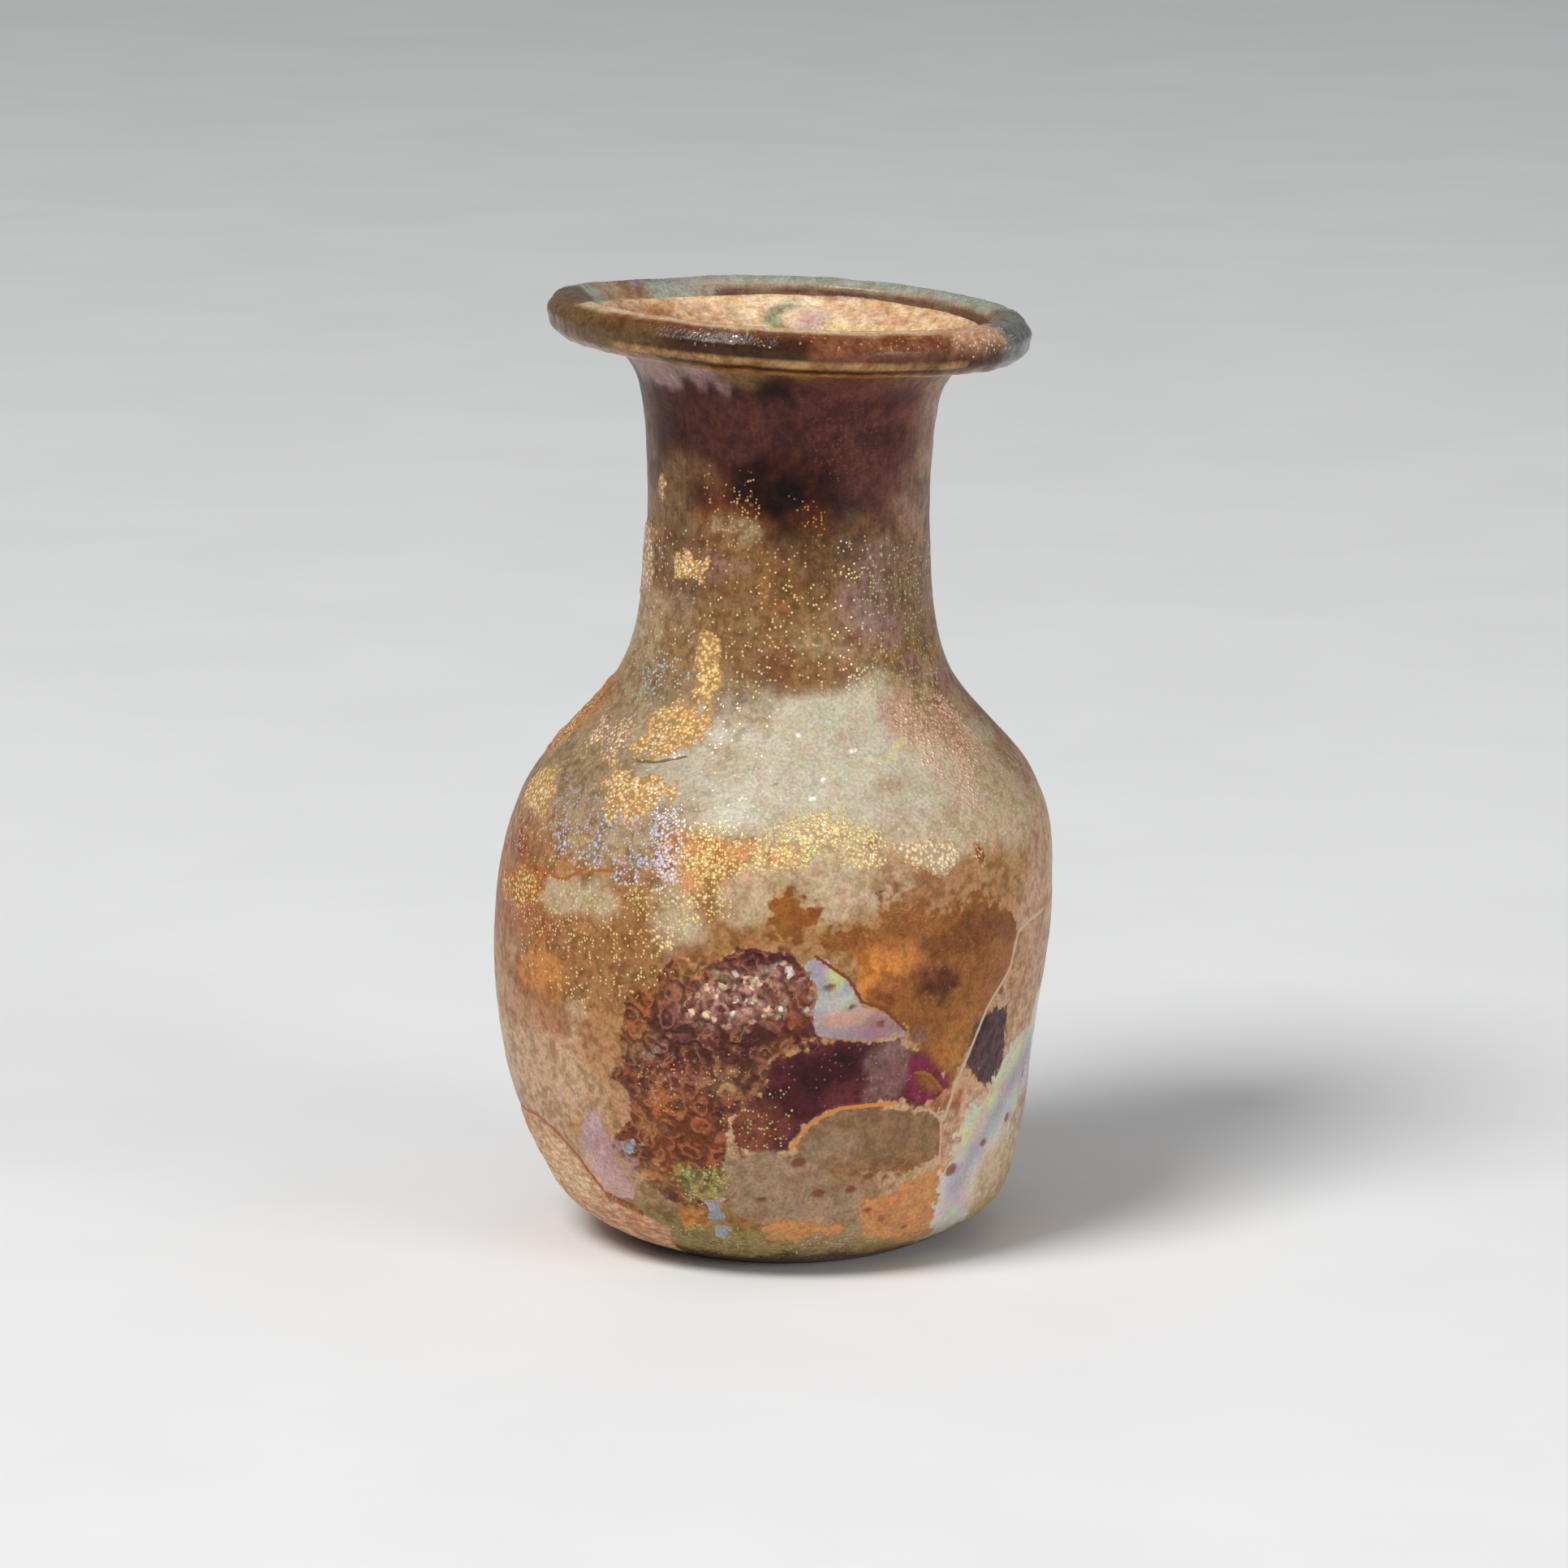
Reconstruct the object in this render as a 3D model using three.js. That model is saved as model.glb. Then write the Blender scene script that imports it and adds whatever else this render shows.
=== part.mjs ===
// A small free-blown glass vase: flat foot, swelling body, straight neck and a rolled lip.
// Millimetres, +Z up, the origin under the middle of the vase on the surface it stands on.
// The side that the photograph shows faces -Y.
import * as THREE from "three";

// Driving sizes of the outside
const MOUTH_HEIGHT = 78;
const FOOT_RADIUS = 12;
const BELLY = { radius: 23.1, z: 28.3 };
const WAIST = { radius: 11.6, z: 59 };
const LIP_RADIUS = 19.75;
const LIP_ROLL = 1.8;

// Driving sizes of the inside
const WALL = 1.9;
const NECK_WALL = 1.8;
const FLOOR = 3.2;
const KICK = { radius: 7.5, depth: 1.0 };

// How far the blown form strays from a true turning
const BELLY_SLANT = { slope: 0.0945, z: 22.2, spread: 12.7 };
const BELLY_LEAN = { shift: -1.39, z: 22.9, spread: 21.5 };
const SIDE_FLAT = { depth: 0.6, z: 15.2, spread: 5.9 };
const HEEL_BULGE = { depth: 0.53, z: 2.5, spread: 3 };
const LIP_SLANT = { x: -0.058, y: -0.023, from: 46, to: 64 };
const LIP_DIP = { depth: 0.55, azimuth: 132, spread: 32, from: 72, to: 76 };
const FLAT_FOOT = { bulge: 2, slant: 6 };

// Fineness of the facets
const AROUND = 64;
const STEPS_PER_SPAN = 3;
const ROLL_STEPS = 9;
const KICK_STEPS = 3;

const LIP_CENTRE = new THREE.Vector2(LIP_RADIUS - LIP_ROLL, MOUTH_HEIGHT - LIP_ROLL);
const FOLD_ANGLE = THREE.MathUtils.degToRad(160);

const point = (radius, z) => new THREE.Vector2(radius, z);
const smoothstep = THREE.MathUtils.smoothstep;
const bell = (z, place) => Math.exp(-(((z - place.z) / place.spread) ** 2));

// A smooth curve through the stations.
function through(stations) {
  return new THREE.SplineCurve(stations).getPoints((stations.length - 1) * STEPS_PER_SPAN);
}

// The underside: a shallow pushed-in kick, then the flat ring that the vase stands on.
function underside() {
  const kick = [];
  for (let i = 0; i < KICK_STEPS; i++) {
    const share = i / KICK_STEPS;
    kick.push(point(KICK.radius * share, KICK.depth * Math.cos((share * Math.PI) / 2)));
  }
  return [...kick, point(KICK.radius, 0)];
}

// The outside from the foot up to where the neck turns out under the lip.
function outerWall() {
  return through([
    point(FOOT_RADIUS, 0),
    point(15.3, 1.6),
    point(18.9, 5.2),
    point(22, 15),
    point(BELLY.radius, BELLY.z),
    point(21.1, 38),
    point(13.45, 47.9),
    point(WAIST.radius, WAIST.z),
    point(12.3, 70.5),
    point(15, 74.6),
  ]);
}

// The rolled lip, from its flat underside round to the line where the fold meets the mouth.
function lip() {
  const roll = [];
  for (let i = 0; i <= ROLL_STEPS; i++) {
    const angle = -Math.PI / 2 + (i / ROLL_STEPS) * (FOLD_ANGLE + Math.PI / 2);
    const arm = point(Math.cos(angle), Math.sin(angle)).multiplyScalar(LIP_ROLL);
    roll.push(LIP_CENTRE.clone().add(arm));
  }
  return roll;
}

// The inside, down the flaring mouth and the neck to the middle of the floor.
function innerWall() {
  const floor = KICK.depth + FLOOR;
  return through([
    point(15.6, 76.7),
    point(13.1, 74.3),
    point(10.7, 69.8),
    point(WAIST.radius - NECK_WALL, WAIST.z),
    point(11.4, 48.2),
    point(19.3, 37.1),
    point(BELLY.radius - WALL, BELLY.z),
    point(20, 15.4),
    point(16.6, 6.8),
    point(11.5, floor),
    point(0, floor),
  ]);
}

// Slants, leans and flattens one point of the true turning into the blown form.
// The foot stays flat on the ground.
function blow(vertex) {
  const { x, y, z } = vertex;
  const top = smoothstep(z, LIP_SLANT.from, LIP_SLANT.to);
  const bellySlope = BELLY_SLANT.slope * bell(z, BELLY_SLANT) * smoothstep(z, 0, FLAT_FOOT.slant);
  vertex.z += x * (bellySlope + LIP_SLANT.x * top) + y * LIP_SLANT.y * top;

  const turn = (THREE.MathUtils.radToDeg(Math.atan2(y, x)) - LIP_DIP.azimuth) / LIP_DIP.spread;
  vertex.z -= LIP_DIP.depth * Math.exp(-(turn ** 2)) * smoothstep(z, LIP_DIP.from, LIP_DIP.to);

  const towardsRight = Math.max(0, x / Math.max(Math.hypot(x, y), Number.EPSILON)) ** 2;
  const bulge = HEEL_BULGE.depth * bell(z, HEEL_BULGE) * smoothstep(z, 0, FLAT_FOOT.bulge);
  vertex.x += BELLY_LEAN.shift * bell(z, BELLY_LEAN);
  vertex.x += (bulge - SIDE_FLAT.depth * bell(z, SIDE_FLAT)) * towardsRight;
}

// The whole vase as one closed solid, centred over the origin.
function vaseGeometry() {
  const profile = [...underside(), ...outerWall(), ...lip(), ...innerWall()];
  const geometry = new THREE.LatheGeometry(profile, AROUND);
  geometry.rotateX(Math.PI / 2);
  const places = geometry.getAttribute("position");
  const vertex = new THREE.Vector3();
  for (let i = 0; i < places.count; i++) {
    blow(vertex.fromBufferAttribute(places, i));
    places.setXYZ(i, vertex.x, vertex.y, vertex.z);
  }
  geometry.computeBoundingBox();
  const middle = geometry.boundingBox.getCenter(new THREE.Vector3());
  geometry.translate(-middle.x, -middle.y, 0);
  geometry.computeVertexNormals();
  return geometry;
}

const weatheredGlass = new THREE.MeshStandardMaterial({
  color: 0x9c7a4c,
  roughness: 0.35,
  metalness: 0,
  transparent: true,
  opacity: 0.8,
});

const vase = new THREE.Mesh(vaseGeometry(), weatheredGlass);
vase.name = "glass_vase";

const part = new THREE.Group();
part.add(vase);

export default part;
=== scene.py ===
"""A weathered blown-glass vase with its stains, flakes and crust, on a pale floor in soft light."""

import math

import bpy
import numpy as np
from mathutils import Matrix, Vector


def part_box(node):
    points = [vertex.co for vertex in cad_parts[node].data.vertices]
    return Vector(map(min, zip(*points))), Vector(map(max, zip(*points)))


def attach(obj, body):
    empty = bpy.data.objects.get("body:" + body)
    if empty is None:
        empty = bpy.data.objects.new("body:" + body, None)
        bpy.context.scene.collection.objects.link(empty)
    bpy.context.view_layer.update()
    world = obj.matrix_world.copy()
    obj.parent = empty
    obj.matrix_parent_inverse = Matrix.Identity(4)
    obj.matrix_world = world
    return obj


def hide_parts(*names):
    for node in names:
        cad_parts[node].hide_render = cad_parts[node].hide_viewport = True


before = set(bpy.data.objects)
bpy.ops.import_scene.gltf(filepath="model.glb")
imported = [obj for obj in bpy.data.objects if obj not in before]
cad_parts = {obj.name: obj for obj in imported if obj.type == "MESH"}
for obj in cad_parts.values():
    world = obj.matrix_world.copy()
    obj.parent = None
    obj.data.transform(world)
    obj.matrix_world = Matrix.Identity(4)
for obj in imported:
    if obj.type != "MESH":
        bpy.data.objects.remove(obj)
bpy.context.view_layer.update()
NODE = "glass_vase"
MM = 0.001

# Sizes of the vase in millimetres, as in the solid
MOUTH_HEIGHT = 78.0
FOOT_RADIUS = 12.0
BELLY_RADIUS, BELLY_Z = 23.1, 28.3
WAIST_RADIUS, WAIST_Z = 11.6, 59.0
LIP_RADIUS, LIP_ROLL = 19.75, 1.8
WALL, NECK_WALL, FLOOR = 1.9, 1.8, 3.2
KICK_RADIUS, KICK_DEPTH = 7.5, 1.0
FOLD_ANGLE = math.radians(160)

# How far the blown form strays from a true turning
BELLY_SLANT = dict(slope=0.0945, z=22.2, spread=12.7)
BELLY_LEAN = dict(shift=-1.39, z=22.9, spread=21.5)
SIDE_FLAT = dict(depth=0.6, z=15.2, spread=5.9)
HEEL_BULGE = dict(depth=0.53, z=2.5, spread=3.0)
LIP_SLANT = dict(x=-0.058, y=-0.023, start=46.0, end=64.0)
LIP_DIP = dict(depth=0.55, azimuth=132.0, spread=32.0, start=72.0, end=76.0)
FLAT_FOOT = dict(bulge=2.0, slant=6.0)

# Fineness of the mesh
AROUND = 312
SPLINE_STEPS = 60
SPACING = dict(underside=1.6, wall=0.42, lip=0.32, mouth=0.6, inside=2.4)
UNDERSIDE, OUTSIDE, LIP, MOUTH, INSIDE = range(5)

# The photograph's camera: aim and distance in millimetres, from the middle of the vase's turning axis
CAMERA_ELEVATION = math.radians(12.03)
CAMERA_DISTANCE = 653.2
CAMERA_AIM = (-0.439, 0.0, 37.7)
SENSOR = 36.0
IMAGE_SIDE = 1932
FOCAL_PIXELS = 9739.0


def smoothstep(low, high, value):
    share = np.clip((value - low) / (high - low), 0, 1)
    return share * share * (3 - 2 * share)


def bell(z, place):
    return np.exp(-(((z - place["z"]) / place["spread"]) ** 2))


# The turned profile

def through(stations):
    """A smooth curve through the stations, with the end stations repeated."""
    known = np.array(stations, float)
    before = np.vstack([known[:1], known, known[-1:]])
    share = np.linspace(0, 1, SPLINE_STEPS, endpoint=False)[:, None]
    spans = []
    for i in range(len(known) - 1):
        p0, p1, p2, p3 = before[i:i + 4]
        leave, arrive = (p2 - p0) / 2, (p3 - p1) / 2
        cubic = (2 * p1 - 2 * p2 + leave + arrive) * share ** 3
        square = (-3 * p1 + 3 * p2 - 2 * leave - arrive) * share ** 2
        spans.append(cubic + square + leave * share + p1)
    return np.vstack(spans + [known[-1:]])


def evenly(curve, spacing):
    """The curve's points, set about this far apart along it, without its last point."""
    travelled = np.concatenate([[0], np.cumsum(np.hypot(*np.diff(curve, axis=0).T))])
    count = max(1, round(travelled[-1] / spacing))
    at = np.linspace(0, travelled[-1], count, endpoint=False)
    return np.stack([np.interp(at, travelled, curve[:, k]) for k in (0, 1)], 1)


def underside_curve():
    share = np.linspace(0, 1, 12)
    kick = np.stack([KICK_RADIUS * share, KICK_DEPTH * np.cos(share * math.pi / 2)], 1)
    return np.vstack([kick, [[FOOT_RADIUS, 0]]])


def outside_curve():
    return through([
        (FOOT_RADIUS, 0), (15.3, 1.6), (18.9, 5.2), (22, 15), (BELLY_RADIUS, BELLY_Z),
        (21.1, 38), (13.45, 47.9), (WAIST_RADIUS, WAIST_Z), (12.3, 70.5), (15, 74.6),
    ])


def lip_curve():
    angle = np.linspace(-math.pi / 2, FOLD_ANGLE, 40)
    centre = np.array([LIP_RADIUS - LIP_ROLL, MOUTH_HEIGHT - LIP_ROLL])
    roll = centre + LIP_ROLL * np.stack([np.cos(angle), np.sin(angle)], 1)
    return np.vstack([outside_curve()[-1:], roll, [[15.6, 76.7]]])


def inner_curve():
    floor = KICK_DEPTH + FLOOR
    return through([
        (15.6, 76.7), (13.1, 74.3), (10.7, 69.8), (WAIST_RADIUS - NECK_WALL, WAIST_Z),
        (11.4, 48.2), (19.3, 37.1), (BELLY_RADIUS - WALL, BELLY_Z), (20, 15.4),
        (16.6, 6.8), (11.5, floor), (0, floor),
    ])


def turned_profile():
    """Radius, height and section of every ring, from the kick's middle round to the floor's middle."""
    inner = inner_curve()
    mouth_end = 3 * SPLINE_STEPS + 1
    runs = [
        (UNDERSIDE, underside_curve(), SPACING["underside"]),
        (OUTSIDE, outside_curve(), SPACING["wall"]),
        (LIP, lip_curve(), SPACING["lip"]),
        (MOUTH, inner[:mouth_end], SPACING["mouth"]),
        (INSIDE, inner[mouth_end - 1:], SPACING["inside"]),
    ]
    rings = [evenly(curve, spacing) for _, curve, spacing in runs]
    sections = [np.full(len(ring), runs[k][0]) for k, ring in enumerate(rings)]
    profile = np.vstack(rings + [inner[-1:]])
    return profile[:, 0], profile[:, 1], np.concatenate(sections + [[INSIDE]])


def blow(x, y, z):
    """Slants, leans and flattens the true turning into the blown form."""
    top = smoothstep(LIP_SLANT["start"], LIP_SLANT["end"], z)
    belly = BELLY_SLANT["slope"] * bell(z, BELLY_SLANT) * smoothstep(0, FLAT_FOOT["slant"], z)
    turn = (np.degrees(np.arctan2(y, x)) - LIP_DIP["azimuth"]) / LIP_DIP["spread"]
    dip = LIP_DIP["depth"] * np.exp(-(turn ** 2)) * smoothstep(LIP_DIP["start"], LIP_DIP["end"], z)
    towards_right = np.clip(x / np.maximum(np.hypot(x, y), 1e-9), 0, 1) ** 2
    bulge = HEEL_BULGE["depth"] * bell(z, HEEL_BULGE) * smoothstep(0, FLAT_FOOT["bulge"], z)
    side = (bulge - SIDE_FLAT["depth"] * bell(z, SIDE_FLAT)) * towards_right
    new_x = x + BELLY_LEAN["shift"] * bell(z, BELLY_LEAN) + side
    new_z = z + x * (belly + LIP_SLANT["x"] * top) + y * LIP_SLANT["y"] * top - dip
    return np.stack([new_x, y, new_z], -1)


# Every point of the skin, with its azimuth (0 at the front, growing to the right), height and section

ring_radius, ring_z, ring_section = turned_profile()
turn_angle = np.arange(AROUND) * 2 * math.pi / AROUND
grid_radius = np.repeat(ring_radius[:, None], AROUND, 1)
grid_height = np.repeat(ring_z[:, None], AROUND, 1)
grid_turn = np.repeat(turn_angle[None, :], len(ring_radius), 0)
grid_place = blow(grid_radius * np.sin(grid_turn), -grid_radius * np.cos(grid_turn), grid_height)

azimuth = np.degrees(grid_turn).ravel()
radius = np.maximum(grid_radius.ravel(), 0.5)
height = grid_height.ravel()
section = np.repeat(ring_section, AROUND)
place = grid_place.reshape(-1, 3)
centre_shift = (place[:, 0].min() + place[:, 0].max()) / 2


def surface_normals(points):
    """The outward direction at every point of the grid."""
    along = np.gradient(points, axis=0)
    across = np.roll(points, -1, 1) - np.roll(points, 1, 1)
    normal = np.cross(across, along)
    return normal / np.maximum(np.linalg.norm(normal, axis=-1, keepdims=True), 1e-12)


# Smooth random fields

def lattice(cell, seed):
    """A fixed random number from 0 to 1 for every whole-numbered place."""
    x, y, z = (cell[..., k].astype(np.int64).astype(np.uint64) for k in range(3))
    mixed = x * np.uint64(374761393) + y * np.uint64(668265263) + z * np.uint64(2246822519)
    mixed = (mixed + np.uint64(seed * 3266489917)) & np.uint64(0xFFFFFFFF)
    mixed = ((mixed ^ (mixed >> np.uint64(15))) * np.uint64(2246822519)) & np.uint64(0xFFFFFFFF)
    mixed = ((mixed ^ (mixed >> np.uint64(13))) * np.uint64(3266489917)) & np.uint64(0xFFFFFFFF)
    return (mixed ^ (mixed >> np.uint64(16))).astype(float) / 0xFFFFFFFF


def noise(size, seed, octaves=3, stretch=(1, 1, 1), near=slice(None)):
    """Cloudy noise from about -1 to 1, with its largest clouds about this many millimetres wide."""
    spots = place[near] / (size * np.array(stretch))
    total, weight = np.zeros(len(spots)), 0.0
    for octave in range(octaves):
        spot = spots * 2 ** octave + 17.3 * octave
        cell = np.floor(spot)
        share = spot - cell
        share = share * share * (3 - 2 * share)
        value = np.zeros(len(spots))
        for corner in np.ndindex(2, 2, 2):
            x, y, z = (share[:, k] if corner[k] else 1 - share[:, k] for k in range(3))
            value += x * y * z * lattice(cell + corner, seed + 101 * octave)
        total += (2 * value - 1) / 2 ** octave
        weight += 1 / 2 ** octave
    return total / weight * 1.6


# Shapes on the skin: each gives the distance in millimetres inside its edge, below 0 outside

FAR = -50.0
BESIDE = 0.65
SOFT = 3.0


def turned_by(middle):
    """How many degrees each point lies to the right of this azimuth."""
    return (azimuth - middle + 180) % 360 - 180


def to_segment(x, y, start, end):
    run = end - start
    share = ((x - start[0]) * run[0] + (y - start[1]) * run[1]) / max(run @ run, 1e-12)
    share = np.clip(share, 0, 1)
    return np.hypot(x - start[0] - share * run[0], y - start[1] - share * run[1])


def flattened(points):
    """The skin and the points laid flat in millimetres around the points' middle."""
    points = np.array(points, float)
    middle = points.mean(0)
    level = np.argmin(np.abs(height - middle[1]) + 1000 * (section != OUTSIDE))
    scale = math.radians(1) * radius[level]
    flat = np.stack([(points[:, 0] - middle[0]) * scale, points[:, 1]], 1)
    return turned_by(middle[0]) * scale, height, flat


def region(*points):
    """A many-sided area with these corners, each an azimuth in degrees and a height."""
    x, y, flat = flattened(points)
    nearest = np.full(len(x), 1e9)
    inside = np.zeros(len(x), bool)
    for start, end in zip(flat, np.roll(flat, -1, 0)):
        nearest = np.minimum(nearest, to_segment(x, y, start, end))
        if start[1] != end[1]:
            crosses = (start[1] > y) != (end[1] > y)
            at = start[0] + (y - start[1]) * (end[0] - start[0]) / (end[1] - start[1])
            inside ^= crosses & (x < at)
    return np.where(section == OUTSIDE, np.where(inside, nearest, -nearest), FAR)


def path(width, *points):
    """A line of this width through the points."""
    x, y, flat = flattened(points)
    nearest = np.full(len(x), 1e9)
    for start, end in zip(flat[:-1], flat[1:]):
        nearest = np.minimum(nearest, to_segment(x, y, start, end))
    return np.where(section == OUTSIDE, width / 2 - nearest, FAR)


def stroke(width, *points):
    """A thin line: the offset to either side of it in half widths, and whether a point lies beside it."""
    x, y, flat = flattened(points)
    nearest, offset, beside = np.full(len(x), 1e9), np.full(len(x), 1e9), np.zeros(len(x), bool)
    last = len(flat) - 2
    for k, (start, end) in enumerate(zip(flat[:-1], flat[1:])):
        run = end - start
        along = ((x - start[0]) * run[0] + (y - start[1]) * run[1]) / (run @ run)
        distance = to_segment(x, y, start, end)
        side = np.sign(run[0] * (y - start[1]) - run[1] * (x - start[0]))
        closer = distance < nearest
        past_end = ((along < 0) & (k == 0)) | ((along > 1) & (k == last))
        nearest = np.where(closer, distance, nearest)
        offset = np.where(closer, side * distance / (width / 2), offset)
        beside = np.where(closer, ~past_end, beside)
    return offset, (section == OUTSIDE) & beside & (nearest < BESIDE)


def blob(middle, level, wide, tall, where=OUTSIDE):
    """A round area, given by its half sizes."""
    across = np.radians(turned_by(middle)) * radius
    reach = np.hypot(across / wide, (height - level) / tall)
    return np.where(section == where, (1 - reach) * min(wide, tall), FAR)


def ragged(distance, amount, size, seed):
    """The same shape with a wandering edge; only points near the edge are moved."""
    near = np.abs(distance) < 4 * amount + SOFT
    moved = distance.copy()
    moved[near] += amount * noise(size, seed, near=near)
    return moved


# Colours as the eye sees them, from 0 to 255

PALETTE = dict(
    olive_tan=(142, 109, 72), neck_brown=(118, 84, 50), olive_brown=(128, 98, 66),
    olive_grey=(176, 150, 114),
    pale_grey=(206, 196, 172), clear_beige=(190, 168, 138), tan=(178, 134, 90), warm_tan=(178, 126, 78),
    brown=(156, 108, 64), beige=(200, 164, 130), plum_brown=(62, 22, 11), plum_black=(18, 3, 3),
    rust=(166, 96, 50), deep_rust=(124, 64, 36), mauve=(176, 138, 134), peach=(206, 164, 130),
    cream=(232, 202, 162), orange=(208, 132, 62), orange_gold=(228, 176, 112), gold=(236, 188, 104),
    honey=(148, 92, 44), honey_dark=(84, 42, 24), wine=(120, 66, 56), wine_dark=(84, 42, 40),
    rust_red=(142, 80, 54), pearl_pink=(196, 150, 132), purple=(98, 42, 46), purple_black=(56, 20, 24),
    plum_dust=(86, 58, 60),
    mauve_grey=(150, 114, 110), magenta=(124, 42, 66), lavender=(156, 148, 156),
    pearl_white=(190, 184, 174), pearl_green=(196, 192, 136), panel=(140, 108, 78),
    panel_grey=(160, 132, 106), peach_orange=(176, 122, 78), green_gold=(150, 136, 78),
    foot_dark=(84, 58, 44), lip_olive=(108, 82, 50), lip_dark=(66, 40, 24), lip_copper=(142, 88, 62),
    lip_aqua=(190, 196, 178), lip_blue=(150, 152, 148), amber=(196, 134, 66), ivory=(236, 216, 180),
    pink_brown=(196, 156, 130), crescent=(150, 152, 116), silver=(244, 238, 240), sky=(206, 216, 250),
    cyan=(206, 232, 236), copper_pink=(255, 206, 176), leaf_green=(186, 208, 130),
    spark_gold=(255, 226, 150), white=(250, 244, 232),
)

# The colours of the flecks in some of them; the others have darker and warmer flecks
FLECKS = dict(
    olive_tan=(112, 80, 46), neck_brown=(86, 56, 32), pale_grey=(194, 180, 152),
    plum_brown=(84, 36, 19), plum_black=(38, 12, 10),
    clear_beige=(170, 142, 106), wine=(74, 36, 34), wine_dark=(112, 62, 48), rust_red=(94, 48, 36),
    panel=(118, 88, 60), panel_grey=(138, 108, 82), cream=(212, 160, 112), peach=(180, 126, 88),
    mauve=(196, 162, 166), honey=(124, 74, 34), honey_dark=(60, 30, 20), peach_orange=(204, 140, 82),
    ivory=(222, 180, 130), lip_aqua=(164, 160, 136), purple=(66, 26, 30), orange_gold=(176, 116, 64),
    plum_dust=(50, 28, 32),
)
DARKER = (0.76, 0.70, 0.62)


def as_light(seen):
    """A colour as the eye sees it, turned into amounts of light."""
    seen = np.array(seen) / 255
    return np.where(seen <= 0.04045, seen / 12.92, ((seen + 0.055) / 1.055) ** 2.4)


def colour(name):
    return as_light(PALETTE[name])


def fleck_colour(name):
    return as_light(FLECKS.get(name, np.array(PALETTE[name]) * DARKER))


def towards(field, target, share):
    """Moves a field towards a value by a share that differs from point to point."""
    share = share[:, None] if field.ndim == 2 else share
    return field * (1 - share) + target * share


class Layer:
    """One coat of weathering: its colour and fleck colour, and how far inside its edge each point lies."""

    def __init__(self, base):
        self.tint = np.tile(colour(base), (len(place), 1))
        self.fleck = np.tile(fleck_colour(base), (len(place), 1))
        self.inside = np.full(len(place), FAR)

    def paint(self, name, share):
        self.tint = towards(self.tint, colour(name), share)
        self.fleck = towards(self.fleck, fleck_colour(name), share)

    def add(self, shape, name, blur=1.0):
        self.paint(name, smoothstep(-blur, blur * 0.2, shape))
        self.inside = np.maximum(self.inside, shape)

    def tone(self, shape, name, share=1.0, blur=1.0):
        self.paint(name, share * smoothstep(-blur, blur, shape))


def spots(layer, rows):
    """Round stains with wandering edges. Each row: azimuth, height, half width, half height,
    how far the edge wanders, over what length, by which chance, colour, share and blur."""
    for middle, level, wide, tall, rough, size, seed, name, share, blur in rows:
        layer.tone(ragged(blob(middle, level, wide, tall), rough, size, seed), name, share, blur)


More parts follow.
